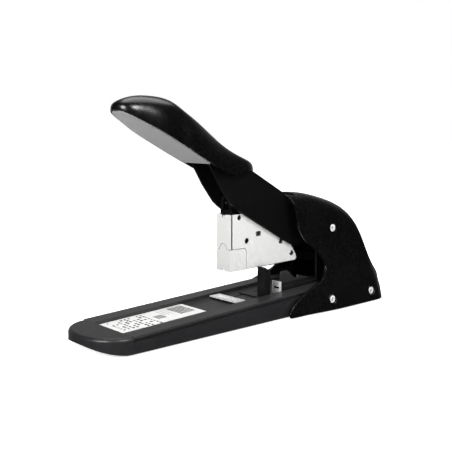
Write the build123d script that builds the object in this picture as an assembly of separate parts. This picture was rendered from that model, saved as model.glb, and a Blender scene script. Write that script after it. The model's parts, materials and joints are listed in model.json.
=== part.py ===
from build123d import *
import math
import os

# A heavy-duty desktop stapler with its handle raised.
# Millimetres. The nose points along -Y, the heel along +Y, Z is up from the table.
# Pieces are modelled with Y = 0 at the joint between nose cap and base; place() then
# moves the whole model so that the origin is at the bottom centre of its bounding box.

# ---- base -----------------------------------------------------------------------------
FEET_PROUD = 1.0          # rubber feet below the base's lower edge
BASE_WIDTH = 60.0
BASE_END = 243.0          # rear end of the base, inside the housing
REAR_START = 172.0        # from here on the base is narrower, hidden by the housing
REAR_NARROWING = 3.0
BASE_WALL = 2.5
NOSE_LENGTH = 24.2
NOSE_TIP_LIFT = 6.5       # how far the nose's underside rises at its tip
NOSE_EDGE_RADIUS = 2.6
DECK_FRONT_Z = 12.4       # rail tops at the nose joint
DECK_RISE = 0.0402        # rise of the deck per millimetre of length
DECK_THICK = 1.6
CHANNEL_WIDTH = 35.8
CHANNEL_DEPTH = 2.7
SHADOW_GAP = 2.4          # groove between deck edge and base side
SHADOW_DEPTH = 1.2
BOTTOM_THICK = 1.2
FOOT_RADIUS = 6.0
SCREW_RADIUS = 1.5
SCREW_CLEARANCE = 0.05
BOTTOM_SCREW_X = 23.0
BOTTOM_SCREW_YS = (16.0, 150.0)
LABEL_START = 3.4
LABEL_LENGTH = 72.2
LABEL_THICK = 0.3

# ---- anvil ----------------------------------------------------------------------------
ANVIL_TOP_Z = 16.2
ANVIL_HALF_WIDTH = 14.3
ANVIL_START = 100.6
ANVIL_LENGTH = 10.1
ANVIL_THICK = 0.9
CLINCH_HALF_WIDTH = 9.5
CLINCH_START = 103.0
CLINCH_LENGTH = 4.2
CLINCH_DEPTH = 0.6

# ---- head (raised) ----------------------------------------------------------------------
HEAD_FRONT_Y = 101.65
HEAD_HALF_WIDTH = 7.7
HEAD_TOP_Z = 79.6
HEAD_FOOT_Z = 37.1
FRONT_THICK = 1.2
SIDE_THICK = 0.8
SEAM_GAP = 1.5            # dark seam between front plate and side plates
GUIDE_THICK = 0.5
GUIDE_LENGTH = 9.2
FOOT_TOP_Z = 53.5
FOOT_FLANGE_END = 118.0
FOOT_GAP = 0.4
HUMP_HALF_WIDTH = 2.6
HUMP_HEIGHT = 4.0
BLADE_GAP = 0.45          # front plate to driver blade
BLADE_THICK = 1.1
BLADE_HALF_WIDTH = 6.3
STAPLE_WIRE = 0.9
HOLDER_START_Z = 71.5

# ---- drawer and pusher ------------------------------------------------------------------
DRAWER_WALL = 0.45
DRAWER_CLEAR = 0.05
DRAWER_FLOOR = 0.8
DRAWER_WALL_TOP = 51.5
DRAWER_END = 160.0
PUSHER_LENGTH = 8.0
PUSHER_TRAVEL = 34.0
ROD_RADIUS = 1.3
ROD_Z = 40.9
ROD_CLEAR = 0.05
ANCHOR_THICK = 2.0

# ---- linkage ----------------------------------------------------------------------------
LINK_LENGTH = 46.0
LINK_TILT = 13.0          # degrees above level with the head raised, the same below when down
HEAD_PIN_UPPER = (154.5, 55.3)
HEAD_PIN_LOWER = (167.0, 44.5)
LINK_PIN_RADIUS = 2.0
LINK_CLEAR = 0.05
UPPER_BAR_HALF = 2.6
LOWER_BAR_HALF = 3.4
LINK_BOSS = 3.9

# ---- handle -----------------------------------------------------------------------------
PIVOT_Y = 201.5
PIVOT_Z = 62.8
HANDLE_TRAVEL = 23.0      # degrees from raised to pressed
ARM_HALF_WIDTH = 10.5
ARM_SHEET = 2.0
ARM_WEB_START = 58.0
ARM_WEB_END = 180.0
ARM_TOP_POINT = (128.5, 107.5)
ARM_TOP_SLOPE = -0.544
ARM_TAIL_RADIUS = 9.0
BUSH_RADIUS = 4.0
CROSSBAR_Y = 110.6
CROSSBAR_Z = 86.8
CROSSBAR_RADIUS = 2.2
CROSSBAR_PLAY = 0.4       # vertical play of the crossbar in the driver's slot
SLOT_REACH = 2.6          # how far the crossbar wanders forward in the driver's slot
TONGUE_HALF = 2.8
TONGUE_WALL = 1.6
TONGUE_GAP = 0.4
TONGUE_FOOT = (118.5, 130.0)   # where the tongue's edges meet the web
GRIP_PLANE_Z = 158.1      # height of the grip insert's face at Y = 0
GRIP_PLANE_SLOPE = -0.526
GRIP_LIP = 0.9            # how far the insert's face stands below the shell's rim
GRIP_WALL = 1.8
GRIP_INSERT_THICK = 2.0
GRIP_INSERT_START = 9.0
GRIP_INSERT_END = 76.0
# handle shell stations: (y, roof z, half width)
SHELL_STATIONS = (
    (8.2, 157.6, 2.8), (10.0, 159.4, 7.0), (13.5, 161.2, 10.6), (19.0, 163.0, 13.2),
    (27.0, 164.2, 15.8), (42.0, 163.6, 18.4), (57.0, 157.6, 18.6), (73.0, 147.4, 17.6),
    (89.0, 136.0, 16.2), (106.0, 126.0, 15.0), (118.0, 120.8, 12.8), (122.5, 119.0, 9.8),
    (125.3, 117.8, 6.6),
)
# lower rim of the handle shell behind the insert: (y, z)
SHELL_REAR_RIM = ((89.0, 112.5), (106.0, 110.4), (118.0, 111.6), (122.5, 111.2), (125.3, 110.8))

# ---- housing ----------------------------------------------------------------------------
HOUSING_END = 259.8
HOUSING_WALL = 2.2
HOUSING_ROUND_START = 238.0   # where the heel starts to round in plan
HOUSING_ROUND_POWER = 2.4
SHOULDER_HEIGHT = 13.0        # height of the rounded shoulder below the roof
SHOULDER_SHARE = 0.45         # the same as a share of the height, where the roof is low
SHOULDER_POWER = 2.2
SEAM_HALF = 0.1
ARM_SLOT_HALF = 11.2
SPINE_HALF = 5.0
SPINE_START = 168.0
SPINE_END = 226.5
# centre line of the housing roof: (y, z)
ROOF_LINE = (
    (138.0, 95.6), (152.0, 95.0), (175.0, 92.2), (197.0, 88.2), (212.5, 83.6), (225.0, 77.4),
    (232.8, 70.0), (239.0, 60.0), (244.0, 48.5), (249.0, 37.5), (254.5, 26.5), (259.8, 13.0),
)
# side of the housing below the shoulder: (z, half width)
HOUSING_SIDE = (
    (0.0, 39.6), (5.0, 38.4), (11.0, 36.4), (19.0, 33.2), (27.0, 28.8), (37.0, 24.8),
    (51.0, 22.4), (66.0, 21.0), (80.0, 19.8), (96.0, 18.6),
)
FOOT_NARROWING = 0.0024   # narrowing of the foot per millimetre ahead of FOOT_WIDEST_Y
FOOT_WIDEST_Y = 190.0
FOOT_FLARE_TOP = 36.0
# front edge of both shells, from the foot up to the roof: (y, z)
THROAT_EDGE = (
    (139.4, 0.0), (138.8, 4.0), (142.5, 9.0), (152.0, 14.6), (169.0, 20.5), (182.5, 26.0),
    (188.0, 33.0), (184.5, 42.0), (173.0, 52.0), (163.5, 62.0), (160.0, 74.0), (158.0, 86.0),
    (151.0, 97.0),
)
CHEEK_INNER = 12.4
CHEEK_THICK = 2.0
CHEEK_START = 190.0
CHEEK_END = 232.0
RIVET_RADIUS = 2.2
RIVET_BORE = 1.1
RIVET_HEAD_RADIUS = 3.0
RIVET_HEAD_THICK = 0.9
FOOT_RIVETS = ((185.0, 9.0), (233.6, 8.9))
BUTTON_HALF = 4.6
BUTTON_START = 227.2
BUTTON_END = 243.4
BUTTON_PROUD = 1.6
BUTTON_TRAVEL = 3.0
BUTTON_TILT = 48.0        # the button's push direction below the horizontal, degrees

# ---- throat pieces ----------------------------------------------------------------------
STOP_X = (9.2, 17.2)
STOP_START = 128.3
STOP_THICK = 6.0
STOP_TOP_Z = 39.0
STOP_SLIDE_THICK = 0.9
STOP_FORWARD = 15.0
STOP_BACK = 8.0
GROOVE_X = (-6.0, -3.8)
GROOVE_START = 111.5
GROOVE_END = 147.5
GUIDE_BLOCK_START = 146.0
GUIDE_BLOCK_END = 188.0
GUIDE_BLOCK_HEIGHT = 5.6
GUIDE_PLATE_THICK = 1.2
GUIDE_PLATE_TOP = 25.4
EAR_X = (8.4, 9.4)

# ---- worked out from the sizes above ------------------------------------------------------
HALF_BASE = BASE_WIDTH / 2
HALF_REAR = HALF_BASE - REAR_NARROWING
CENTRE_Y = (HOUSING_END - NOSE_LENGTH) / 2
HEAD_DROP = 2 * LINK_LENGTH * math.sin(math.radians(LINK_TILT))
LINK_RUN = LINK_LENGTH * math.cos(math.radians(LINK_TILT))
FRAME_PIN_UPPER = (HEAD_PIN_UPPER[0] + LINK_RUN, HEAD_PIN_UPPER[1] - HEAD_DROP / 2)
FRAME_PIN_LOWER = (HEAD_PIN_LOWER[0] + LINK_RUN, HEAD_PIN_LOWER[1] - HEAD_DROP / 2)
SIDE_INNER = HEAD_HALF_WIDTH - SIDE_THICK
BLADE_Y = HEAD_FRONT_Y + FRONT_THICK + BLADE_GAP
CROSSBAR_DROP = (PIVOT_Y - CROSSBAR_Y) * math.sin(math.radians(HANDLE_TRAVEL)) + (
    CROSSBAR_Z - PIVOT_Z) * (1 - math.cos(math.radians(HANDLE_TRAVEL)))
DRIVER_STROKE = CROSSBAR_DROP - HEAD_DROP
BLADE_LOW_Z = HEAD_FOOT_Z + STAPLE_WIRE + DRIVER_STROKE
DRAWER_OUTER = SIDE_INNER - DRAWER_CLEAR
DRAWER_INNER = DRAWER_OUTER - DRAWER_WALL
PUSHER_START = BLADE_Y + BLADE_THICK + 0.3


def between(table, y):
    """Values of a station table at y, straight between its stations; the first column is y."""
    for low, high in zip(table, table[1:]):
        if low[0] <= y <= high[0]:
            part = (y - low[0]) / (high[0] - low[0])
            return [a + (b - a) * part for a, b in zip(low, high)][1:]
    return list(table[0][1:] if y < table[0][0] else table[-1][1:])


def place(shape):
    """Move a piece from modelling coordinates into the row frame."""
    return Pos(0, -CENTRE_Y, 0) * shape


def deck_z(y):
    """Height of the rail tops at y."""
    return DECK_FRONT_Z + DECK_RISE * y


def floor_z(y):
    """Height of the channel floor at y."""
    return deck_z(y) - CHANNEL_DEPTH


def arm_top_z(y):
    """Height of the handle arm's top edge at y."""
    return ARM_TOP_POINT[1] + ARM_TOP_SLOPE * (y - ARM_TOP_POINT[0])


def grip_plane_z(y):
    """Height of the grip insert's lower face at y."""
    return GRIP_PLANE_Z + GRIP_PLANE_SLOPE * y


def side_plate(points, x_low, x_high):
    """Extrude a closed outline of (y, z) points between two x values."""
    face = make_face(Polyline(*points, close=True))
    return extrude(Plane.YZ.offset(x_low) * face, x_high - x_low)


def side_curve(points, tail, x_low, x_high):
    """Extrude an outline whose points are joined by a spline and closed by straight lines."""
    curve = Spline(*points)
    closing = Polyline(points[-1], *tail, points[0])
    face = make_face(curve + closing)
    return extrude(Plane.YZ.offset(x_low) * face, x_high - x_low)


def block(x_range, y_range, z_range):
    """A box from its ranges along the three axes."""
    size = [high - low for low, high in (x_range, y_range, z_range)]
    centre = [(high + low) / 2 for low, high in (x_range, y_range, z_range)]
    return Pos(*centre) * Box(*size)


def bar_x(y, z, radius, x_low, x_high):
    """A round bar along X."""
    bar = Cylinder(radius, x_high - x_low, rotation=(0, 90, 0))
    return Pos((x_low + x_high) / 2, y, z) * bar


def bar_y(x, z, radius, y_low, y_high):
    """A round bar along Y."""
    bar = Cylinder(radius, y_high - y_low, rotation=(90, 0, 0))
    return Pos(x, (y_low + y_high) / 2, z) * bar


def bar_z(x, y, radius, z_low, z_high):
    """A round bar along Z."""
    return Pos(x, y, (z_low + z_high) / 2) * Cylinder(radius, z_high - z_low)


def along_deck(points, y_low, y_high):
    """Extrude a closed (x, height above the rail tops) outline along the sloping deck."""
    start = deck_z(y_low)
    outline = Polyline(*[(x, y_low, start + z) for x, z in points], close=True)
    run = y_high - y_low
    return Solid.extrude(make_face(outline).face(), Vector(0, run, run * DECK_RISE))


def joined(pieces):
    """Several pieces as one group."""
    group = pieces[0]
    for piece in pieces[1:]:
        group += piece
    return group


def both_sides(shape):
    """The piece and its mirror image across the centre plane, as one group."""
    return shape + mirror(shape, about=Plane.YZ)


# ---- base -------------------------------------------------------------------------------
def base_form(inset, low, high):
    """Plan form of the base, wide ahead of the housing and narrower inside it."""
    front = block((-HALF_BASE + inset, HALF_BASE - inset), (inset, REAR_START - inset), (low, high))
    rear = block((-HALF_REAR + inset, HALF_REAR - inset), (inset, BASE_END - inset), (low, high))
    return front + rear


def base_tray():
    """Wedge-shaped lower body, open below, with cross ribs and screw bosses."""
    under = -DECK_THICK
    corners = [(0, FEET_PROUD), (BASE_END, FEET_PROUD),
               (BASE_END, deck_z(BASE_END) + under), (0, deck_z(0) + under)]
    body = side_plate(corners, -HALF_BASE, HALF_BASE) & base_form(0, 0, 60)
    body -= base_form(BASE_WALL, 0, 60)
    groove = [(HALF_BASE - SHADOW_DEPTH, under), (HALF_BASE + 1, under),
              (HALF_BASE + 1, under - SHADOW_GAP), (HALF_BASE - SHADOW_DEPTH, under - SHADOW_GAP)]
    body -= both_sides(along_deck(groove, -1, BASE_END + 1))
    sunk = CHANNEL_WIDTH / 2 + DECK_THICK
    low = -CHANNEL_DEPTH - DECK_THICK
    body -= along_deck([(-sunk, low), (sunk, low), (sunk, 0), (-sunk, 0)], -1, BASE_END + 1)
    rib_low = FEET_PROUD + BOTTOM_THICK + 0.3
    for y in (ANVIL_START - 1, ANVIL_START + ANVIL_LENGTH - 1, CHEEK_START, CHEEK_END - 4):
        top = floor_z(y) - DECK_THICK
        rib = block((-HALF_BASE, HALF_BASE), (y, y + 2), (rib_low, top))
        body += rib & base_form(BASE_WALL - 0.2, 0, 60)
    for y in BOTTOM_SCREW_YS:
        top = deck_z(y) - DECK_THICK - 0.2
        boss = bar_z(BOTTOM_SCREW_X, y, 3.4, rib_low, top)
        boss += block((BOTTOM_SCREW_X, HALF_BASE - BASE_WALL), (y - 1, y + 1), (rib_low, top))
        boss -= bar_z(BOTTOM_SCREW_X, y, SCREW_RADIUS + SCREW_CLEARANCE, 0, top - 1.5)
        body += both_sides(boss)
        body -= both_sides(bar_z(BOTTOM_SCREW_X, y, SCREW_RADIUS + SCREW_CLEARANCE, 0, top - 1.5))
    for y, z in FOOT_RIVETS:
        body -= bar_x(y, z, RIVET_RADIUS + SCREW_CLEARANCE, -50, 50)
    return body


def deck_plate():
    """Pressed deck: two rails with a sunk channel between them."""
    half_in = CHANNEL_WIDTH / 2
    half_out = half_in + DECK_THICK
    right = [(half_in, -CHANNEL_DEPTH), (half_in, 0), (HALF_BASE, 0), (HALF_BASE, -DECK_THICK),
             (half_out, -DECK_THICK), (half_out, -CHANNEL_DEPTH - DECK_THICK)]
    left = [(-x, z) for x, z in reversed(right)]
    deck = along_deck(right + left, 0, BASE_END)
    deck -= block(GROOVE_X, (GROOVE_START, GROOVE_END), (0, 40))
    return deck & base_form(0, 0, 60)


def nose_cap():
    """Solid nose: half an ellipse in plan, softly domed, with its underside lifted at the tip."""
    face = Ellipse(HALF_BASE, NOSE_LENGTH) - Pos(0, NOSE_LENGTH) * Rectangle(
        4 * HALF_BASE, 2 * NOSE_LENGTH)
    top = deck_z(0)
    cap = extrude(Pos(0, 0, FEET_PROUD) * face, top - FEET_PROUD)
    rim = cap.edges().filter_by(GeomType.ELLIPSE).sort_by(Axis.Z)[-1]
    cap = fillet(rim, NOSE_EDGE_RADIUS)
    length = NOSE_LENGTH + 1
    under = [(-length * 0.12, FEET_PROUD - 0.2), (-length * 0.45, FEET_PROUD + NOSE_TIP_LIFT * 0.16),
             (-length * 0.75, FEET_PROUD + NOSE_TIP_LIFT * 0.48), (-length, FEET_PROUD + NOSE_TIP_LIFT)]
    cap -= side_curve(under, [(-length - 5, FEET_PROUD + NOSE_TIP_LIFT), (-length - 5, -3),
                              (-length * 0.12, -3)], -HALF_BASE - 5, HALF_BASE + 5)
    return cap


def bottom_plate():
    """Steel sheet that closes the base from below."""
    plate = base_form(BASE_WALL + 0.1, FEET_PROUD, FEET_PROUD + BOTTOM_THICK)
    for y in BOTTOM_SCREW_YS:
        plate -= both_sides(bar_z(BOTTOM_SCREW_X, y, SCREW_RADIUS + 0.3, 0, 5))
    return plate


def bottom_screws():
    """Four screws that hold the bottom plate to the base's bosses."""
    group = []
    for y in BOTTOM_SCREW_YS:
        tip = deck_z(y) - DECK_THICK - 2.2
        screw = bar_z(BOTTOM_SCREW_X, y, SCREW_RADIUS, FEET_PROUD - 0.6, tip)
        screw += bar_z(BOTTOM_SCREW_X, y, 2.8, FEET_PROUD - 0.7, FEET_PROUD - 0.05)
        group.append(both_sides(screw))
    return joined(group)


def rubber_feet():
    """Four rubber pads under the bottom plate."""
    group = []
    for y in (30.0, BASE_END - 22.0):
        group.append(both_sides(bar_z(HALF_BASE - 10, y, FOOT_RADIUS, 0, FEET_PROUD)))
    return joined(group)


def label_plate():
    """Thin printed label lying in the channel behind the nose."""
    half = CHANNEL_WIDTH / 2 - 0.3
    low = -CHANNEL_DEPTH
    corners = [(-half, low), (half, low), (half, low + LABEL_THICK), (-half, low + LABEL_THICK)]
    return along_deck(corners, LABEL_START, LABEL_START + LABEL_LENGTH)


def anvil_block():
    """Dark block that carries the anvil plate level above the sloping channel floor."""
    start, end = ANVIL_START + 0.3, ANVIL_START + ANVIL_LENGTH - 0.3
    top = ANVIL_TOP_Z - ANVIL_THICK
    corners = [(start, floor_z(start)), (end, floor_z(end)), (end, top), (start, top)]
    half = ANVIL_HALF_WIDTH - 0.3
    return side_plate(corners, -half, half)


def anvil_plate():
    """Hard plate with the clinching recess that turns the staple's legs."""
    low = ANVIL_TOP_Z - ANVIL_THICK
    plate = block((-ANVIL_HALF_WIDTH, ANVIL_HALF_WIDTH), (ANVIL_START, ANVIL_START + ANVIL_LENGTH),
                  (low, ANVIL_TOP_Z))
    plate -= block((-CLINCH_HALF_WIDTH, CLINCH_HALF_WIDTH),
                   (CLINCH_START, CLINCH_START + CLINCH_LENGTH),
                   (ANVIL_TOP_Z - CLINCH_DEPTH, ANVIL_TOP_Z + 1))
    return plate


# ---- throat pieces ------------------------------------------------------------------------
def depth_stop():
    """Upright stop beside the head's path, on a slide plate that lies on the channel floor."""
    end = STOP_START + STOP_THICK
    upright = side_plate([(STOP_START, floor_z(STOP_START)), (end, floor_z(end)),
                          (end, STOP_TOP_Z - 3.5), (STOP_START, STOP_TOP_Z)], *STOP_X)
    half = CHANNEL_WIDTH / 2 - 0.5
    low, high = -CHANNEL_DEPTH, -CHANNEL_DEPTH + STOP_SLIDE_THICK
    slide = along_deck([(GROOVE_X[0] - 3, low), (STOP_X[1], low), (STOP_X[1], high),
                        (GROOVE_X[0] - 3, high)], STOP_START - 2.3, end + 1.5)
    key_low = low - DECK_THICK * 0.8
    key = along_deck([(GROOVE_X[0] + 0.1, key_low), (GROOVE_X[1] - 0.1, key_low),
                      (GROOVE_X[1] - 0.1, low), (GROOVE_X[0] + 0.1, low)], STOP_START, end)
    web = side_plate([(end, floor_z(end) + STOP_SLIDE_THICK), (end + 1.5, floor_z(end + 1.5) + 1),
                      (end, STOP_TOP_Z - 12)], STOP_X[0], STOP_X[0] + 2)
    assert half > STOP_X[1] - 0.5
    return upright + slide + key + web


def guide_block():
    """Black block on the channel floor behind the stop."""
    start, end = GUIDE_BLOCK_START, GUIDE_BLOCK_END
    high = -CHANNEL_DEPTH + GUIDE_BLOCK_HEIGHT
    half = CHANNEL_WIDTH / 2 - 0.4
    return along_deck([(EAR_X[1], -CHANNEL_DEPTH), (half, -CHANNEL_DEPTH), (half, high - 1.2),
                       (half - 1.2, high), (EAR_X[1], high)], start, end)


def guide_plate():
    """Bright angle plate on the front of the guide block, with a window and a screw hole."""
    half = CHANNEL_WIDTH / 2 - 0.4
    end = GUIDE_BLOCK_START
    start = end - GUIDE_PLATE_THICK
    low = floor_z(start) + 0.2
    plate = block((EAR_X[0], half), (start, end), (low, GUIDE_PLATE_TOP))
    window_z = floor_z(end) + GUIDE_BLOCK_HEIGHT - 1.4
    plate -= block((EAR_X[0] + 1.4, half - 1.4), (start - 1, end + 1), (window_z, window_z + 1.6))
    plate -= bar_y((EAR_X[0] + half) / 2 + 1.2, GUIDE_PLATE_TOP - 1.9, 0.8, start - 1, end + 1)
    return plate


def throat_bracket():
    """Grey sheet bracket with two ears along the inner side of the guide block."""
    ear = [(153.0, floor_z(153) + 0.1), (GUIDE_BLOCK_END - 1.5, floor_z(GUIDE_BLOCK_END) + 0.1),
           (GUIDE_BLOCK_END - 2.0, 23.0), (173.0, 26.4), (172.0, 24.0), (169.5, 24.4),
           (161.0, 31.4), (155.0, 31.4), (153.0, 29.5)]
    return side_plate(ear, *EAR_X)


# ---- head ---------------------------------------------------------------------------------
def head_side():
    """Right side plate of the head, with its holes and the cut-out for the drawer foot."""
    front = HEAD_FRONT_Y + FRONT_THICK + SEAM_GAP
    cut_top = FOOT_TOP_Z + FOOT_GAP
    cut_end = FOOT_FLANGE_END + FOOT_GAP
    corners = [(front, cut_top), (cut_end - 2, cut_top), (cut_end, cut_top - 2),
               (cut_end, HEAD_FOOT_Z + 0.5), (171.6, HEAD_FOOT_Z + 1.5), (172.9, 40.2),
               (172.0, 43.0), (168.6, 48.6), (163.0, 54.5), (157.0, 59.6), (150.0, 63.6),
               (118.5, HEAD_TOP_Z - 0.8), (115.0, HEAD_TOP_Z), (front, HEAD_TOP_Z)]
    plate = side_plate(corners, SIDE_INNER, HEAD_HALF_WIDTH)
    for y, z, radius in ((110.9, 77.0, 2.0), (118.6, 59.0, 2.2)):
        plate -= bar_x(y, z, radius, 0, 20)
    plate -= block((0, 20), (128.1, 133.3), (61.5, 65.3))
    for y, z in (HEAD_PIN_UPPER, HEAD_PIN_LOWER):
        plate -= bar_x(y, z, LINK_PIN_RADIUS, 0, 20)
    return plate


def head_front():
    """Front plate of the head, notched at its top and arched over the drawer foot's hump."""
    low, gap = FOOT_TOP_Z + FOOT_GAP, FOOT_GAP
    half = HEAD_HALF_WIDTH - 0.2
    right = [(half, low), (HUMP_HALF_WIDTH + 1.8 + gap, low),
             (HUMP_HALF_WIDTH - 1.0 + gap, low + HUMP_HEIGHT)]
    left = [(-x, z) for x, z in reversed(right)]
    top = [(-half, HEAD_TOP_Z), (-2.4, HEAD_TOP_Z), (-1.9, HEAD_TOP_Z - 2.4), (0, HEAD_TOP_Z - 1.6),
           (1.9, HEAD_TOP_Z - 2.4), (2.4, HEAD_TOP_Z), (half, HEAD_TOP_Z)]
    face = make_face(Polyline(*(right + left + top), close=True))
    back = Plane.XZ.offset(-HEAD_FRONT_Y - FRONT_THICK)
    return extrude(back * face, FRONT_THICK)


def blade_guide():
    """Dark guide rails that steer the edges of the driver blade."""
    start = HEAD_FRONT_Y + FRONT_THICK
    inner = SIDE_INNER - GUIDE_THICK
    return both_sides(block((inner, SIDE_INNER), (start, start + GUIDE_LENGTH),
                            (FOOT_TOP_Z + FOOT_GAP, HEAD_TOP_Z - 0.6)))


def head_crossbar():
    """Square bar between the side plates; its tabs show in the rectangular slots."""
    bar = block((-SIDE_INNER, SIDE_INNER), (128.0, 133.4), (61.4, 65.4))
    tab = block((SIDE_INNER, HEAD_HALF_WIDTH - 0.25), (128.7, 132.7), (62.0, 64.8))
    return bar + both_sides(tab)


def head_pin(pin, half):
    """Pin across the head with a flat head at each end."""
    shank = bar_x(*pin, LINK_PIN_RADIUS, -half, half)
    caps = both_sides(bar_x(*pin, LINK_PIN_RADIUS, half - 0.1, half + 0.3))
    return shank + caps


def rod_anchor():
    """Plate at the rear of the drawer bay that holds the pusher rod."""
    start = DRAWER_END + 0.4
    plate = block((-SIDE_INNER, SIDE_INNER), (start, start + ANCHOR_THICK), (HEAD_FOOT_Z + 1.6, 49.5))
    plate -= bar_y(0, ROD_Z, ROD_RADIUS, start - 1, start + 5)
    return plate


def pusher_rod():
    """Rod along the drawer bay; the pusher and its spring slide on it."""
    return bar_y(0, ROD_Z, ROD_RADIUS, PUSHER_START, DRAWER_END + 0.4 + ANCHOR_THICK)


def staple_pusher():
    """Block that pushes the staples forward."""
    end = PUSHER_START + PUSHER_LENGTH
    half = DRAWER_INNER - 0.2
    low = HEAD_FOOT_Z + DRAWER_FLOOR + 0.3
    pusher = side_plate([(PUSHER_START, low), (end, low), (end, ROD_Z + 3.4), (end - 3, 50.9),
                         (PUSHER_START, 50.9)], -half, half)
    pusher -= bar_y(0, ROD_Z, ROD_RADIUS + ROD_CLEAR, PUSHER_START - 1, end + 1)
    return pusher


def coil(radius, wire, height, turns):
    """Coil spring standing on the XY plane around Z."""
    path = Helix(height / turns, height, radius)
    start = path @ 0
    profile = Plane(origin=start, z_dir=path % 0) * Circle(wire)
    return sweep(profile, path=path)


def pusher_spring():
    """Coil spring on the rod behind the pusher."""
    start = PUSHER_START + PUSHER_LENGTH + 0.6
    length = DRAWER_END - start - 0.2
    spring = coil(1.9, 0.25, length, 16)
    return Pos(0, start, ROD_Z) * Rot(-90, 0, 0) * spring


# ---- drawer -------------------------------------------------------------------------------
def drawer_foot():
    """Bright foot of the loading drawer that wraps the head's lower front corner."""
    front, back = HEAD_FRONT_Y, HEAD_FRONT_Y + FRONT_THICK
    half = HEAD_HALF_WIDTH - 0.05
    top = FOOT_TOP_Z
    right = [(half, HEAD_FOOT_Z), (half, top), (HUMP_HALF_WIDTH + 1.8, top),
             (HUMP_HALF_WIDTH - 1.0, top + HUMP_HEIGHT)]
    left = [(-x, z) for x, z in reversed(right)]
    face = make_face(Polyline(*(right + left), close=True))
    plate = extrude(Plane.XZ.offset(-back) * face, FRONT_THICK)
    plate -= bar_y(0, HEAD_FOOT_Z, 1.3, front - 1, back + 1)
    flange = side_plate([(back, HEAD_FOOT_Z), (FOOT_FLANGE_END, HEAD_FOOT_Z),
                         (FOOT_FLANGE_END, top - 2), (FOOT_FLANGE_END - 2, top), (back, top)],
                        DRAWER_OUTER, half)
    middle, crest = 110.0, 48.2
    slit = block((half - 0.3, half + 1), (middle - 2.0, middle + 2.0), (HEAD_FOOT_Z - 1, crest))
    slit += bar_x(middle, crest, 2.0, half - 0.3, half + 1)
    tongue = block((half - 0.4, half + 1), (middle - 1.4, middle + 1.4), (HEAD_FOOT_Z - 1, crest))
    tongue += bar_x(middle, crest, 1.4, half - 0.4, half + 1)
    flange -= slit - tongue
    return plate + both_sides(flange)


def drawer_channel():
    """Channel of the drawer that carries the staples, with the exit slot behind the foot."""
    start = HEAD_FRONT_Y + FRONT_THICK
    low = HEAD_FOOT_Z
    wall = side_plate([(start, low), (DRAWER_END, low + 0.9), (DRAWER_END, DRAWER_WALL_TOP - 3),
                       (DRAWER_END - 6, DRAWER_WALL_TOP), (start, DRAWER_WALL_TOP)],
                      DRAWER_INNER, DRAWER_OUTER)
    floor = block((-DRAWER_INNER, DRAWER_INNER), (start + STAPLE_WIRE + 1.6, DRAWER_END),
                  (low, low + DRAWER_FLOOR))
    return both_sides(wall) + floor


# ---- driver -------------------------------------------------------------------------------
def driver_blade():
    """Flat blade that drives the staple."""
    return block((-BLADE_HALF_WIDTH, BLADE_HALF_WIDTH), (BLADE_Y, BLADE_Y + BLADE_THICK),
                 (BLADE_LOW_Z, HEAD_TOP_Z - 0.8))


def driver_link():
    """Holder of the blade, with the slot that the arm's crossbar rides in."""
    start = BLADE_Y + BLADE_THICK
    end = CROSSBAR_Y + CROSSBAR_RADIUS + 4.4
    half = BLADE_HALF_WIDTH - 0.2
    top = CROSSBAR_Z + CROSSBAR_RADIUS + 3.6
    body = side_plate([(start, HOLDER_START_Z), (end - 4, HOLDER_START_Z), (end, HOLDER_START_Z + 6),
                       (end, top - 3), (end - 3, top), (start + 2, top), (start, top - 2)],
                      -half, half)
    slot_half = CROSSBAR_RADIUS + CROSSBAR_PLAY
    body -= block((-20, 20), (CROSSBAR_Y - SLOT_REACH, CROSSBAR_Y),
                  (CROSSBAR_Z - slot_half, CROSSBAR_Z + slot_half))
    for y in (CROSSBAR_Y - SLOT_REACH, CROSSBAR_Y):
        body -= bar_x(y, CROSSBAR_Z, slot_half, -20, 20)
    gap = TONGUE_HALF + TONGUE_GAP
    low = CROSSBAR_Z - CROSSBAR_RADIUS - TONGUE_WALL - TONGUE_GAP
    return body - block((-gap, gap), (start - 5, end + 5), (low, 200))


# ---- linkage ------------------------------------------------------------------------------
def link_bar(pin_a, pin_b, half_height, x_low, x_high):
    """A flat bar with round ends between two pins."""
    angle = math.degrees(math.atan2(pin_b[1] - pin_a[1], pin_b[0] - pin_a[0]))
    length = math.dist(pin_a, pin_b)
    face = Pos(pin_a[0], pin_a[1]) * Rot(0, 0, angle) * Pos(length / 2, 0) * Rectangle(
        length, 2 * half_height)
    bar = extrude(Plane.YZ.offset(x_low) * face, x_high - x_low)
    for pin in (pin_a, pin_b):
        bar += bar_x(*pin, half_height, x_low, x_high)
    return bar


def upper_link():
    """Centre link between the frame and the head's upper pin."""
    link = link_bar(HEAD_PIN_UPPER, FRAME_PIN_UPPER, UPPER_BAR_HALF, -3.0, 3.0)
    link += bar_x(*HEAD_PIN_UPPER, LINK_BOSS, -SIDE_INNER + 0.4, SIDE_INNER - 0.4)
    link += bar_x(*FRAME_PIN_UPPER, LINK_BOSS, -3.6, 3.6)
    for pin in (HEAD_PIN_UPPER, FRAME_PIN_UPPER):
        link -= bar_x(*pin, LINK_PIN_RADIUS + LINK_CLEAR, -20, 20)
    return link


def lower_link():
    """Twin-bar link between the frame and the head's lower pin."""
    bars = both_sides(link_bar(HEAD_PIN_LOWER, FRAME_PIN_LOWER, LOWER_BAR_HALF, 4.0, 6.2))
    for pin in (HEAD_PIN_LOWER, FRAME_PIN_LOWER):
        bars += bar_x(*pin, LOWER_BAR_HALF, -SIDE_INNER + 0.4, SIDE_INNER - 0.4)
    for pin in (HEAD_PIN_LOWER, FRAME_PIN_LOWER):
        bars -= bar_x(*pin, LINK_PIN_RADIUS + LINK_CLEAR, -20, 20)
    return bars


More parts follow.
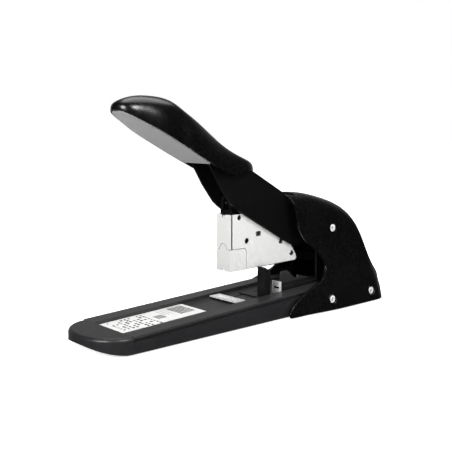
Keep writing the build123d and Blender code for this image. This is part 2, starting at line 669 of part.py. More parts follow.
# ---- frame --------------------------------------------------------------------------------
def frame_cheek():
    """Right steel cheek of the frame, standing in the channel inside the housing."""
    round_radius = 8.0
    cheek = side_plate([(CHEEK_START, floor_z(CHEEK_START)), (CHEEK_END, floor_z(CHEEK_END)),
                        (CHEEK_END, 34.0), (PIVOT_Y + round_radius, PIVOT_Z),
                        (PIVOT_Y - round_radius, PIVOT_Z), (CHEEK_START, 48.0)],
                       CHEEK_INNER, CHEEK_INNER + CHEEK_THICK)
    cheek += bar_x(PIVOT_Y, PIVOT_Z, round_radius, CHEEK_INNER, CHEEK_INNER + CHEEK_THICK)
    cheek -= bar_x(PIVOT_Y, PIVOT_Z, RIVET_RADIUS + SCREW_CLEARANCE, 0, 50)
    for pin in (FRAME_PIN_UPPER, FRAME_PIN_LOWER):
        cheek -= bar_x(*pin, LINK_PIN_RADIUS + SCREW_CLEARANCE, 0, 50)
    return cheek


def frame_pin(pin):
    """Pin across both cheeks, with a flat head outside each."""
    reach = CHEEK_INNER + CHEEK_THICK
    shank = bar_x(*pin, LINK_PIN_RADIUS, -reach - 0.8, reach + 0.8)
    return shank + both_sides(bar_x(*pin, LINK_PIN_RADIUS + 1, reach, reach + 0.8))


def pivot_bush():
    """Steel tube between the cheeks that the handle arm turns on."""
    bush = bar_x(PIVOT_Y, PIVOT_Z, BUSH_RADIUS, -CHEEK_INNER, CHEEK_INNER)
    return bush - bar_x(PIVOT_Y, PIVOT_Z, RIVET_RADIUS + SCREW_CLEARANCE, -20, 20)


def pivot_washers():
    """Washers between the arm and the cheeks."""
    ring = bar_x(PIVOT_Y, PIVOT_Z, 7.0, ARM_HALF_WIDTH + 0.15, CHEEK_INNER - 0.05)
    ring -= bar_x(PIVOT_Y, PIVOT_Z, BUSH_RADIUS + SCREW_CLEARANCE, 0, 20)
    return both_sides(ring)


def hollow_rivet(y, z, face):
    """Hollow rivet along X from shell to shell, with a rolled head in each recess."""
    rivet = bar_x(y, z, RIVET_RADIUS, -face, face)
    rivet += both_sides(bar_x(y, z, RIVET_HEAD_RADIUS, face - RIVET_HEAD_THICK, face))
    return rivet - bar_x(y, z, RIVET_BORE, -60, 60)


def housing_half_width(y, z):
    """Half width of the housing at one point of its side."""
    roof = roof_z(y)
    shoulder = shoulder_z(roof)
    width = between(HOUSING_SIDE, z)[0] * plan_share(y) * foot_share(y, z)
    if z > shoulder:
        part = min((z - shoulder) / (roof - shoulder), 1.0)
        width *= (1 - part ** SHOULDER_POWER) ** (1 / SHOULDER_POWER)
    return width


def shoulder_z(roof):
    """Height where the rounded shoulder starts under a roof height."""
    return roof - min(SHOULDER_HEIGHT, SHOULDER_SHARE * (roof - FEET_PROUD))


def roof_z(y):
    """Height of the housing roof's centre line, straight between its stations."""
    return between(ROOF_LINE, y)[0]


def plan_share(y):
    """Share of the full width that the rounded heel leaves at y."""
    if y <= HOUSING_ROUND_START:
        return 1.0
    t = (y - HOUSING_ROUND_START) / (HOUSING_END + 0.6 - HOUSING_ROUND_START)
    return (1 - t ** HOUSING_ROUND_POWER) ** (1 / HOUSING_ROUND_POWER)


def foot_share(y, z):
    """Narrowing of the foot towards the front; the upper part keeps its width."""
    ahead = max(0.0, FOOT_WIDEST_Y - y)
    return 1 - FOOT_NARROWING * ahead * max(0.0, 1 - z / FOOT_FLARE_TOP)


def housing_solid(inset):
    """Closed outer form of the housing, or with an inset the form of its hollow."""
    sections = []
    for index, (y, roof) in enumerate(ROOF_LINE):
        before = ROOF_LINE[max(index - 1, 0)]
        after = ROOF_LINE[min(index + 1, len(ROOF_LINE) - 1)]
        slope = math.atan2(after[1] - before[1], after[0] - before[0])
        station = y + inset * math.sin(slope) - (5 if inset and index == 0 else 0)
        top = roof - inset * math.cos(slope)
        shoulder = shoulder_z(roof)
        heights = [FEET_PROUD + part * (shoulder - FEET_PROUD)
                   for part in (0.0, 0.12, 0.24, 0.36, 0.5, 0.66, 0.83, 1.0)]
        heights += [shoulder + part * (roof - shoulder) for part in (0.36, 0.64, 0.84, 0.96)]
        half = []
        for z in heights:
            x = housing_half_width(y, z)
            share = (z - FEET_PROUD) / (roof - FEET_PROUD)
            z -= inset * share * math.cos(slope) if share else (5 if inset else 0)
            half.append((max(x - inset, 0.6 * x), station, z))
        arch = half + [(0, station, top)] + [(-x, y_, z) for x, y_, z in reversed(half)]
        sections.append(Wire([Spline(*arch).edge(), Line(arch[-1], arch[0]).edge()]))
    return Solid.make_loft(sections)


def base_envelope(margin):
    """The space of base and deck, with a margin, that the housing is cut clear of."""
    wedge = side_plate([(-50, -5), (BASE_END + margin, -5),
                        (BASE_END + margin, deck_z(BASE_END) + margin), (-50, deck_z(-50) + margin)],
                       -HALF_BASE - margin, HALF_BASE + margin)
    wide = block((-HALF_BASE - margin, HALF_BASE + margin), (-50, REAR_START + margin), (-5, 60))
    return wedge & (wide + block((-HALF_REAR - margin, HALF_REAR + margin), (0, 300), (-5, 60)))


def housing_hull():
    """Both shells and the spine as one hollow, before they are split."""
    hull = housing_solid(0) - housing_solid(HOUSING_WALL)
    throat = side_curve(THROAT_EDGE, [(100, 97.0), (100, 0.0)], -60, 60)
    hull -= throat
    hull -= base_envelope(0.15)
    hull -= block((-ARM_SLOT_HALF, ARM_SLOT_HALF), (120, SPINE_START), (0, 120))
    hull -= block((-ARM_SLOT_HALF, ARM_SLOT_HALF), (120, CHEEK_START), (0, 60))
    return hull


def spine_range():
    """Box that the spine strip and the button take out of the shells."""
    return block((-SPINE_HALF - 0.1, SPINE_HALF + 0.1), (SPINE_START - 1, BUTTON_END + 0.3), (35, 120))


def housing_shell(hull):
    """Right glossy shell of the housing."""
    shell = hull & block((SEAM_HALF, 60), (100, 300), (-10, 120))
    shell -= spine_range()
    for y, z in FOOT_RIVETS:
        face = housing_half_width(y, z) - 0.6
        shell += bar_x(y, z, RIVET_HEAD_RADIUS + 1.2, HALF_REAR + 0.2, face)
        shell -= bar_x(y, z, RIVET_HEAD_RADIUS + 0.6, face - RIVET_HEAD_THICK - 0.1, 60)
        shell -= bar_x(y, z, RIVET_RADIUS + SCREW_CLEARANCE, 0, 60)
    face = housing_half_width(PIVOT_Y, PIVOT_Z) - 0.4
    shell += bar_x(PIVOT_Y, PIVOT_Z, RIVET_HEAD_RADIUS + 1.2, CHEEK_INNER + CHEEK_THICK + 0.05, face)
    shell -= bar_x(PIVOT_Y, PIVOT_Z, RIVET_HEAD_RADIUS + 0.6, face - RIVET_HEAD_THICK - 0.1, 60)
    shell -= bar_x(PIVOT_Y, PIVOT_Z, RIVET_RADIUS + SCREW_CLEARANCE, 0, 60)
    return shell


def spine_strip(hull):
    """Dark strip along the roof between the two shells, cut off along the button's push."""
    strip = hull & block((-SPINE_HALF, SPINE_HALF), (SPINE_START, BUTTON_START + 10), (50, 120))
    return strip - behind_push(SPINE_END)


def button_direction():
    """Unit vector of the button's push, forward and down."""
    tilt = math.radians(BUTTON_TILT)
    return Vector(0, -math.cos(tilt), -math.sin(tilt))


def behind_push(y):
    """Everything behind the plane that runs along the push through the roof at y."""
    push, reach = button_direction(), 60
    above = (y - reach * push.Y, roof_z(y) - reach * push.Z)
    below = (y + reach * push.Y, roof_z(y) + reach * push.Z)
    return side_plate([above, below, (above[0] + 60, below[1]), (above[0] + 60, above[1])], -20, 20)


def release_button():
    """Rounded grey button that follows the roof's rear curve and stands a little proud."""
    outer = [(y, z) for y, z in ROOF_LINE if BUTTON_START - 3 < y < BUTTON_END + 3]
    push = button_direction()
    lift = BUTTON_PROUD
    top = [(y - push.Y * lift, z - push.Z * lift) for y, z in outer]
    deep = HOUSING_WALL + 1.2
    low = [(y + push.Y * deep, z + push.Z * deep) for y, z in outer]
    body = side_curve(top, list(reversed(low)), -BUTTON_HALF, BUTTON_HALF)
    body &= block((-20, 20), (SPINE_START, BUTTON_END), (40, 120))
    body &= behind_push(BUTTON_START)
    middle = outer[len(outer) // 2]
    stem_start = Vector(0, *middle) + push * (deep - 1.0)
    stem = Solid.make_cylinder(1.6, 7.0, Plane(origin=stem_start, z_dir=push))
    return body + stem


def button_spring():
    """Coil spring under the button, around its stem."""
    outer = [(y, z) for y, z in ROOF_LINE if BUTTON_START - 3 < y < BUTTON_END + 3]
    push = button_direction()
    middle = outer[len(outer) // 2]
    start = Vector(0, *middle) + push * (HOUSING_WALL + 1.2 + 1.3)
    spring = coil(2.6, 0.3, 6.0, 5)
    return Plane(origin=start, z_dir=push) * spring


def button_seat():
    """Shelf across the frame cheeks that the button's spring stands on."""
    outer = [(y, z) for y, z in ROOF_LINE if BUTTON_START - 3 < y < BUTTON_END + 3]
    push = button_direction()
    middle = outer[len(outer) // 2]
    start = Vector(0, *middle) + push * (HOUSING_WALL + 1.2 + 0.8 + 6.5 + 0.5)
    shelf = Plane(origin=start, x_dir=(1, 0, 0), z_dir=push)
    seat = shelf * Pos(0, 0, 0.75) * Box(2 * (CHEEK_INNER + 3.4), 9, 1.5)
    hole = Solid.make_cylinder(2.1, 10, Plane(origin=start - push * 3, z_dir=push))
    return seat - hole


# ---- handle -------------------------------------------------------------------------------
def arm_outline():
    """Outline of the arm's cheeks, clear of the frame pin over the whole travel."""
    front_top = ARM_WEB_START
    return [(front_top, arm_top_z(front_top)), (front_top, grip_plane_z(front_top) + 4.0),
            (79.3, grip_plane_z(79.3) + 2.2), (90.0, 101.4), (99.8, 88.6), (104.6, 84.6),
            (109.3, 81.5), (154.8, 56.4), (166.0, 50.8), (174.0, 50.6), (190.0, 55.0),
            (PIVOT_Y - 2, PIVOT_Z - ARM_TAIL_RADIUS + 0.4), (PIVOT_Y, PIVOT_Z),
            (PIVOT_Y, PIVOT_Z + ARM_TAIL_RADIUS - 0.2), (ARM_WEB_END, arm_top_z(ARM_WEB_END))]


def handle_arm():
    """Steel channel that straddles the head: two cheeks under a top web."""
    inner = ARM_HALF_WIDTH - ARM_SHEET
    cheek = side_plate(arm_outline(), inner, ARM_HALF_WIDTH)
    cheek += bar_x(PIVOT_Y, PIVOT_Z, ARM_TAIL_RADIUS, inner, ARM_HALF_WIDTH)
    web_start, web_end = ARM_WEB_START, ARM_WEB_END - 3
    drop = ARM_SHEET * 1.14
    web = side_plate([(web_start, arm_top_z(web_start)), (web_start, arm_top_z(web_start) - drop),
                      (web_end, arm_top_z(web_end) - drop), (web_end, arm_top_z(web_end))],
                     -ARM_HALF_WIDTH, ARM_HALF_WIDTH)
    arm = both_sides(cheek) + web
    arm -= bar_x(PIVOT_Y, PIVOT_Z, BUSH_RADIUS + LINK_CLEAR, -20, 20)
    for place_ in arm_screw_places():
        arm -= place_ * Cylinder(SCREW_RADIUS + SCREW_CLEARANCE, 12)
    return arm


def arm_screw_places():
    """Where the two screws pass up through the arm's web into the handle shell."""
    tilt = math.degrees(math.atan(ARM_TOP_SLOPE))
    return [Pos(0, y, arm_top_z(y)) * Rot(tilt, 0, 0) for y in (70.0, 103.0)]


def handle_screws():
    """Two screws that hold the handle shell on the arm."""
    group = []
    for place_ in arm_screw_places():
        screw = place_ * Pos(0, 0, -0.3) * Cylinder(SCREW_RADIUS, 6.2)
        screw += place_ * Pos(0, 0, -ARM_SHEET - 0.85) * Cylinder(3.0, 1.6)
        group.append(screw)
    return joined(group)


def arm_tongue():
    """Tongue below the arm's web that leans back, so that it is upright when pressed."""
    def web_low(y):
        return arm_top_z(y) - 1.14 * ARM_SHEET
    front, back = TONGUE_FOOT
    reach = CROSSBAR_RADIUS + TONGUE_WALL
    tongue = side_plate([(CROSSBAR_Y - reach * 0.88, CROSSBAR_Z + reach * 0.48), (front, web_low(front)),
                         (back, web_low(back)), (CROSSBAR_Y + reach * 0.86, CROSSBAR_Z - reach * 0.52)],
                        -TONGUE_HALF, TONGUE_HALF)
    tongue += bar_x(CROSSBAR_Y, CROSSBAR_Z, reach, -TONGUE_HALF, TONGUE_HALF)
    return tongue - bar_x(CROSSBAR_Y, CROSSBAR_Z, CROSSBAR_RADIUS, -20, 20)


def arm_crossbar():
    """Round bar through the tongue that moves the driver."""
    half = BLADE_HALF_WIDTH - 0.3
    return bar_x(CROSSBAR_Y, CROSSBAR_Z, CROSSBAR_RADIUS, -half, half)


def handle_spring():
    """Coil of the return spring around the bush, with one leg down to the frame pin."""
    turns, wire, radius = 6, 0.8, 5.6
    half = ARM_HALF_WIDTH - ARM_SHEET - 1.4
    spring = Pos(-half, PIVOT_Y, PIVOT_Z) * Rot(0, 90, 0) * coil(radius, wire, 2 * half, turns)
    return spring


def rim_z(y):
    """Height of the handle shell's lower rim at y."""
    along_insert = tuple((at, grip_plane_z(at) + GRIP_LIP) for at in (0.0, GRIP_INSERT_END))
    return between(along_insert + SHELL_REAR_RIM, y)[0]


def handle_solid(inset):
    """Closed form of the handle shell, or with an inset the form of its hollow."""
    arch_shape = ((1.0, 0.0), (1.0, 0.16), (0.97, 0.40), (0.87, 0.64), (0.66, 0.84), (0.34, 0.96))
    stations = list(SHELL_STATIONS)
    if inset:
        ends = (stations[0][0] + inset, stations[-1][0] - inset)
        front, rear = [(y, *between(SHELL_STATIONS, y)) for y in ends]
        kept = [at for at in stations if ends[0] + 1.5 < at[0] < ends[1] - 1.5]
        stations = [front] + kept + [rear]
    sections = []
    for y, roof, half_width in stations:
        base, top, width = rim_z(y), roof - 1.15 * inset, half_width - inset
        low = base - (12 if inset else 0)
        half = []
        for x_share, z_share in arch_shape:
            z = low if z_share == 0 else base + z_share * (top - base)
            half.append((x_share * width, y, z))
        arch = half + [(0, y, top)] + [(-x, y_, z) for x, y_, z in reversed(half)]
        sections.append(Wire([Spline(*arch).edge(), Line(arch[-1], arch[0]).edge()]))
    return Solid.make_loft(sections)


def handle_shell():
    """Glossy handle shell, open below, with two screw bosses that stand on the arm's web."""
    outer = handle_solid(0)
    shell = outer - handle_solid(GRIP_WALL)
    start, end, lift, half = ARM_WEB_START - 1, 140.0, 0.1, ARM_HALF_WIDTH + 0.1
    shell -= side_plate([(start, arm_top_z(start) + lift), (start, 90), (end, 90),
                         (end, arm_top_z(end) + lift)], -half, half)
    for place_ in arm_screw_places():
        boss = place_ * Pos(0, 0, 15.05) * Cylinder(4.0, 30)
        shell += boss & outer
        shell -= place_ * Pos(0, 0, -2.6) * Cylinder(SCREW_RADIUS + SCREW_CLEARANCE, 12)
    return shell


def grip_insert():
    """Grey insert that closes the handle shell from below ahead of the arm."""
    end = GRIP_INSERT_END
    thick = GRIP_INSERT_THICK
    start = GRIP_INSERT_START
    slab = side_plate([(start, grip_plane_z(start)), (end, grip_plane_z(end)),
                       (end, grip_plane_z(end) + thick), (start, grip_plane_z(start) + thick)], -40, 40)
    insert = slab & handle_solid(GRIP_WALL + 0.1)
    return insert


def build():
    """Make every piece and return them by node name."""
    hull = housing_hull()
    shell = housing_shell(hull)
    side = head_side()
    cheek = frame_cheek()
    pivot_face = housing_half_width(PIVOT_Y, PIVOT_Z) - 0.4
    foot_rivets = [hollow_rivet(y, z, housing_half_width(y, z) - 0.6) for y, z in FOOT_RIVETS]
    return {
        "base_tray": base_tray(),
        "deck_plate": deck_plate(),
        "nose_cap": nose_cap(),
        "bottom_plate": bottom_plate(),
        "bottom_screws": bottom_screws(),
        "rubber_feet": rubber_feet(),
        "label_plate": label_plate(),
        "anvil_block": anvil_block(),
        "anvil_plate": anvil_plate(),
        "depth_stop": depth_stop(),
        "guide_block": guide_block(),
        "guide_plate": guide_plate(),
        "throat_bracket": throat_bracket(),
        "head_side_right": side,
        "head_side_left": mirror(side, about=Plane.YZ),
        "head_front": head_front(),
        "blade_guide": blade_guide(),
        "head_crossbar": head_crossbar(),
        "head_pin_upper": head_pin(HEAD_PIN_UPPER, HEAD_HALF_WIDTH),
        "head_pin_lower": head_pin(HEAD_PIN_LOWER, HEAD_HALF_WIDTH),
        "rod_anchor": rod_anchor(),
        "pusher_rod": pusher_rod(),
        "staple_pusher": staple_pusher(),
        "pusher_spring": pusher_spring(),
        "drawer_foot": drawer_foot(),
        "drawer_channel": drawer_channel(),
        "driver_blade": driver_blade(),
        "driver_link": driver_link(),
        "upper_link": upper_link(),
        "lower_link": lower_link(),
        "frame_cheek_right": cheek,
        "frame_cheek_left": mirror(cheek, about=Plane.YZ),
        "frame_pin_upper": frame_pin(FRAME_PIN_UPPER),
        "frame_pin_lower": frame_pin(FRAME_PIN_LOWER),
        "pivot_bush": pivot_bush(),
        "pivot_washers": pivot_washers(),
        "pivot_rivet": hollow_rivet(PIVOT_Y, PIVOT_Z, pivot_face),
        "foot_rivets": joined(foot_rivets),
        "housing_right": shell,
        "housing_left": mirror(shell, about=Plane.YZ),
        "spine_strip": spine_strip(hull),
        "release_button": release_button(),
        "button_spring": button_spring(),
        "button_seat": button_seat(),
        "handle_arm": handle_arm(),
        "handle_screws": handle_screws(),
        "arm_tongue": arm_tongue(),
        "arm_crossbar": arm_crossbar(),
        "handle_spring": handle_spring(),
        "handle_shell": handle_shell(),
        "grip_insert": grip_insert(),
    }


os.makedirs("parts", exist_ok=True)
for name, piece in build().items():
    export_step(place(piece), f"parts/{name}.step")
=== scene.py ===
"""Looks, light and camera for the heavy-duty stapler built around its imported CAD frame.

Metres, row frame: the nose points along -Y, +Z is up, the object stands on Z = 0.
"""

from __future__ import annotations

import json
import logging
import math
import random
from collections.abc import Callable
from dataclasses import dataclass
from enum import Enum

import bmesh
import bpy
from mathutils import Matrix, Vector

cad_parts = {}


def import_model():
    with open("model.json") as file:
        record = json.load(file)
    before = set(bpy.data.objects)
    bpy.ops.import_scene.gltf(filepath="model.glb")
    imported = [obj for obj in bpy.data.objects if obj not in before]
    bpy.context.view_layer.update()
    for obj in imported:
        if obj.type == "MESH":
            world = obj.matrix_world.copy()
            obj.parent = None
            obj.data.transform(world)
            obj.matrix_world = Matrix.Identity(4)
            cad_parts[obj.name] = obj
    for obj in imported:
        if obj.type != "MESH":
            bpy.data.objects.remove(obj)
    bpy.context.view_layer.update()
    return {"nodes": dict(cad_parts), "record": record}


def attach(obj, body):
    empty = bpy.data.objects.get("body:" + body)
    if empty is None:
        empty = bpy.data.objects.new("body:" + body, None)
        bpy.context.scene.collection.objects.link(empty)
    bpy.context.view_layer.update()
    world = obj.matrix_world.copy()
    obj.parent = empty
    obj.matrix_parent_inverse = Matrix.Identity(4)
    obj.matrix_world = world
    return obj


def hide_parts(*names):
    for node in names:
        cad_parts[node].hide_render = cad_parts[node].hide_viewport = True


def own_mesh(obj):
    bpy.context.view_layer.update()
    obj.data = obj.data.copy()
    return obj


LOG = logging.getLogger("stapler")
MM = 0.001
LABEL_THICK = 0.3 * MM
RIM_WIRE = 0.35 * MM
CROWN_HEIGHT = 0.25 * MM
CROSS_ARM = 2.6 * MM
CROSS_WIDTH = 0.6 * MM
PUSHER_TRAVEL = 34.0 * MM
PUSHER_WIRE = 0.25 * MM
PUSHER_TURNS = 16
BUTTON_TRAVEL = 3.0 * MM
BUTTON_WIRE = 0.3 * MM
BUTTON_TURNS = 4
BUTTON_TILT = 48.0  # the button's push direction below the horizontal, degrees


class Grain(Enum):
    """Kinds of fine surface relief."""

    MOULDED = "moulded"
    BRUSHED = "brushed"
    CAST = "cast"


@dataclass(frozen=True)
class Finish:
    """One surface finish.

    Attributes:
        name: Blender material name.
        slot: Material slot of the record.
        colour: Linear base colour.
        metallic: Principled metallic.
        roughness: Middle roughness.
        spread: How far the roughness wanders either way.
        grain: Kind of relief.
        relief: Height of the relief in metres.
        scale: Relief features per metre.
        edge: Radius of the softened edges in metres.
        wear: Share of brighter edge wear.
    """

    name: str
    slot: str
    colour: tuple[float, float, float]
    metallic: float = 0.0
    roughness: float = 0.4
    spread: float = 0.05
    grain: Grain = Grain.MOULDED
    relief: float = 0.00001
    scale: float = 1500.0
    edge: float = 0.0003
    wear: float = 0.0


FINISHES: dict[str, Finish] = {
    f.slot: f
    for f in (
        Finish("dark_moulding", "dark_grey_plastic", (0.010, 0.010, 0.011), roughness=0.36,
               spread=0.06, relief=0.000012, scale=2600.0, edge=0.0005, wear=0.25),
        Finish("deck_paint", "grey_sheet", (0.020, 0.020, 0.021), roughness=0.34, spread=0.07,
               grain=Grain.CAST, relief=0.000010, scale=1800.0, edge=0.0004, wear=0.35),
        Finish("zinc_sheet", "zinc_sheet", (0.46, 0.46, 0.47), metallic=1.0, roughness=0.38,
               spread=0.10, grain=Grain.BRUSHED, relief=0.000004, scale=900.0, wear=0.2),
        Finish("zinc_steel", "zinc_steel", (0.50, 0.50, 0.51), metallic=1.0, roughness=0.32,
               spread=0.08, grain=Grain.BRUSHED, relief=0.000003, scale=1200.0, wear=0.2),
        Finish("rubber", "rubber", (0.012, 0.012, 0.012), roughness=0.72, spread=0.06,
               grain=Grain.CAST, relief=0.00002, scale=1400.0, edge=0.0002),
        Finish("black_moulding", "black_plastic", (0.004, 0.004, 0.004), roughness=0.34,
               spread=0.05, relief=0.000010, scale=2400.0, edge=0.0004, wear=0.15),
        Finish("bright_steel", "bright_steel", (0.78, 0.78, 0.79), metallic=0.45, roughness=0.26,
               spread=0.06, grain=Grain.BRUSHED, relief=0.000002, scale=1500.0, edge=0.0002),
        Finish("head_steel", "head_steel", (0.62, 0.62, 0.61), metallic=0.30, roughness=0.40,
               spread=0.07, grain=Grain.BRUSHED, relief=0.000003, scale=1000.0, edge=0.0002,
               wear=0.1),
        Finish("label_film", "label", (0.62, 0.62, 0.61), roughness=0.42, spread=0.04,
               relief=0.000002, scale=1800.0, edge=0.0001),
        Finish("dark_steel", "dark_steel", (0.045, 0.045, 0.047), metallic=1.0, roughness=0.42,
               spread=0.10, grain=Grain.BRUSHED, relief=0.000004, scale=1100.0, wear=0.3),
        Finish("spring_steel", "spring_steel", (0.40, 0.40, 0.41), metallic=1.0, roughness=0.28,
               spread=0.06, grain=Grain.BRUSHED, relief=0.000002, scale=1600.0, edge=0.0001),
        Finish("black_gloss", "black_gloss", (0.0012, 0.0012, 0.0013), roughness=0.27,
               spread=0.03, relief=0.000003, scale=420.0, edge=0.0008, wear=0.03),
        Finish("grey_moulding", "grey_plastic", (0.175, 0.175, 0.178), roughness=0.50,
               spread=0.05, relief=0.000012, scale=2600.0, edge=0.0004),
        Finish("black_paint", "black_paint", (0.0016, 0.0016, 0.0017), roughness=0.34,
               spread=0.05, grain=Grain.CAST, relief=0.000004, scale=700.0,
               edge=0.0005, wear=0.08),
    )
}
PRINT_INK = Finish("print_ink", "label", (0.035, 0.035, 0.037), roughness=0.45, spread=0.03,
                   relief=0.000001, edge=0.00002)


class NodeGroups:
    """Shader node groups shared by every material, each built once."""

    def __init__(self) -> None:
        self._made: dict[str, bpy.types.NodeTree] = {}

    def get(self, name: str) -> bpy.types.NodeTree:
        """Return a group, building it the first time.

        Args:
            name: Name of one of this class's build methods without its prefix.

        Returns:
            The node group.
        """
        if name not in self._made:
            self._made[name] = getattr(self, f"_build_{name}")()
        return self._made[name]

    @staticmethod
    def _new(name: str, inputs: list[tuple[str, str, float]], outputs: list[tuple[str, str]]
             ) -> tuple[bpy.types.NodeTree, bpy.types.Node, bpy.types.Node]:
        """Make an empty group with its sockets.

        Args:
            name: Group name.
            inputs: Socket name, type and default of each input.
            outputs: Socket name and type of each output.

        Returns:
            The tree, its input node and its output node.
        """
        tree = bpy.data.node_groups.new(name, "ShaderNodeTree")
        for label, kind, default in inputs:
            socket = tree.interface.new_socket(label, in_out="INPUT", socket_type=kind)
            if kind == "NodeSocketFloat":
                socket.default_value = default
        for label, kind in outputs:
            tree.interface.new_socket(label, in_out="OUTPUT", socket_type=kind)
        return tree, tree.nodes.new("NodeGroupInput"), tree.nodes.new("NodeGroupOutput")

    @staticmethod
    def _noise(tree: bpy.types.NodeTree, vector: bpy.types.NodeSocket, scale: float,
               detail: float = 2.0) -> bpy.types.Node:
        """Add a noise texture on a vector.

        Args:
            tree: Tree to add to.
            vector: Coordinates.
            scale: Scale, also used when nothing is linked to it.
            detail: Octaves.

        Returns:
            The noise node.
        """
        node = tree.nodes.new("ShaderNodeTexNoise")
        node.inputs["Scale"].default_value = scale
        node.inputs["Detail"].default_value = detail
        tree.links.new(vector, node.inputs["Vector"])
        return node

    def _relief(self, name: str, stretch: tuple[float, float, float]) -> bpy.types.NodeTree:
        """Fine relief over soft edges, with slow changes of roughness.

        Args:
            name: Group name.
            stretch: Scale of the coordinates along each axis.

        Returns:
            The node group.
        """
        tree, source, sink = self._new(
            name,
            [("Scale", "NodeSocketFloat", 1500.0), ("Relief", "NodeSocketFloat", 0.00001),
             ("Edge", "NodeSocketFloat", 0.0003)],
            [("Normal", "NodeSocketVector"), ("Drift", "NodeSocketFloat")])
        coords = tree.nodes.new("ShaderNodeTexCoord")
        mapping = tree.nodes.new("ShaderNodeMapping")
        mapping.inputs["Scale"].default_value = stretch
        tree.links.new(coords.outputs["Object"], mapping.inputs["Vector"])
        fine = self._noise(tree, mapping.outputs["Vector"], 1500.0)
        tree.links.new(source.outputs["Scale"], fine.inputs["Scale"])
        bevel = tree.nodes.new("ShaderNodeBevel")
        bevel.samples = 4
        tree.links.new(source.outputs["Edge"], bevel.inputs["Radius"])
        bump = tree.nodes.new("ShaderNodeBump")
        tree.links.new(source.outputs["Relief"], bump.inputs["Distance"])
        tree.links.new(fine.outputs["Fac"], bump.inputs["Height"])
        tree.links.new(bevel.outputs["Normal"], bump.inputs["Normal"])
        slow = self._noise(tree, coords.outputs["Object"], 38.0, 4.0)
        centred = tree.nodes.new("ShaderNodeMath")
        centred.operation = "SUBTRACT"
        tree.links.new(slow.outputs["Fac"], centred.inputs[0])
        centred.inputs[1].default_value = 0.5
        doubled = tree.nodes.new("ShaderNodeMath")
        doubled.operation = "MULTIPLY"
        tree.links.new(centred.outputs[0], doubled.inputs[0])
        doubled.inputs[1].default_value = 2.0
        tree.links.new(bump.outputs["Normal"], sink.inputs["Normal"])
        tree.links.new(doubled.outputs[0], sink.inputs["Drift"])
        return tree

    def _build_moulded(self) -> bpy.types.NodeTree:
        """Relief of moulded plastic."""
        return self._relief("moulded_relief", (1.0, 1.0, 1.0))

    def _build_brushed(self) -> bpy.types.NodeTree:
        """Relief of rolled or brushed sheet."""
        return self._relief("brushed_relief", (1.0, 0.06, 1.0))

    def _build_cast(self) -> bpy.types.NodeTree:
        """Relief of sprayed paint and rubber."""
        return self._relief("cast_relief", (0.6, 0.6, 0.6))

    def _build_edge_wear(self) -> bpy.types.NodeTree:
        """Mask that is high where edges are handled, broken up by noise."""
        tree, source, sink = self._new("edge_wear", [("Radius", "NodeSocketFloat", 0.0006)],
                                       [("Mask", "NodeSocketFloat")])
        geometry = tree.nodes.new("ShaderNodeNewGeometry")
        bevel = tree.nodes.new("ShaderNodeBevel")
        bevel.samples = 4
        tree.links.new(source.outputs["Radius"], bevel.inputs["Radius"])
        dot = tree.nodes.new("ShaderNodeVectorMath")
        dot.operation = "DOT_PRODUCT"
        tree.links.new(bevel.outputs["Normal"], dot.inputs[0])
        tree.links.new(geometry.outputs["Normal"], dot.inputs[1])
        invert = tree.nodes.new("ShaderNodeMapRange")
        invert.inputs["From Min"].default_value = 0.999
        invert.inputs["From Max"].default_value = 0.93
        tree.links.new(dot.outputs["Value"], invert.inputs["Value"])
        coords = tree.nodes.new("ShaderNodeTexCoord")
        patch = self._noise(tree, coords.outputs["Object"], 160.0, 5.0)
        broken = tree.nodes.new("ShaderNodeMapRange")
        broken.inputs["From Min"].default_value = 0.42
        broken.inputs["From Max"].default_value = 0.72
        tree.links.new(patch.outputs["Fac"], broken.inputs["Value"])
        product = tree.nodes.new("ShaderNodeMath")
        product.operation = "MULTIPLY"
        tree.links.new(invert.outputs["Result"], product.inputs[0])
        tree.links.new(broken.outputs["Result"], product.inputs[1])
        tree.links.new(product.outputs[0], sink.inputs["Mask"])
        return tree

    def _build_smudges(self) -> bpy.types.NodeTree:
        """Faint handling marks: a mask from two sizes of noise."""
        tree, _, sink = self._new("smudges", [], [("Mask", "NodeSocketFloat")])
        coords = tree.nodes.new("ShaderNodeTexCoord")
        wide = self._noise(tree, coords.outputs["Object"], 22.0, 3.0)
        close = self._noise(tree, coords.outputs["Object"], 240.0, 6.0)
        product = tree.nodes.new("ShaderNodeMath")
        product.operation = "MULTIPLY"
        tree.links.new(wide.outputs["Fac"], product.inputs[0])
        tree.links.new(close.outputs["Fac"], product.inputs[1])
        spread = tree.nodes.new("ShaderNodeMapRange")
        spread.inputs["From Min"].default_value = 0.22
        spread.inputs["From Max"].default_value = 0.38
        tree.links.new(product.outputs[0], spread.inputs["Value"])
        tree.links.new(spread.outputs["Result"], sink.inputs["Mask"])
        return tree


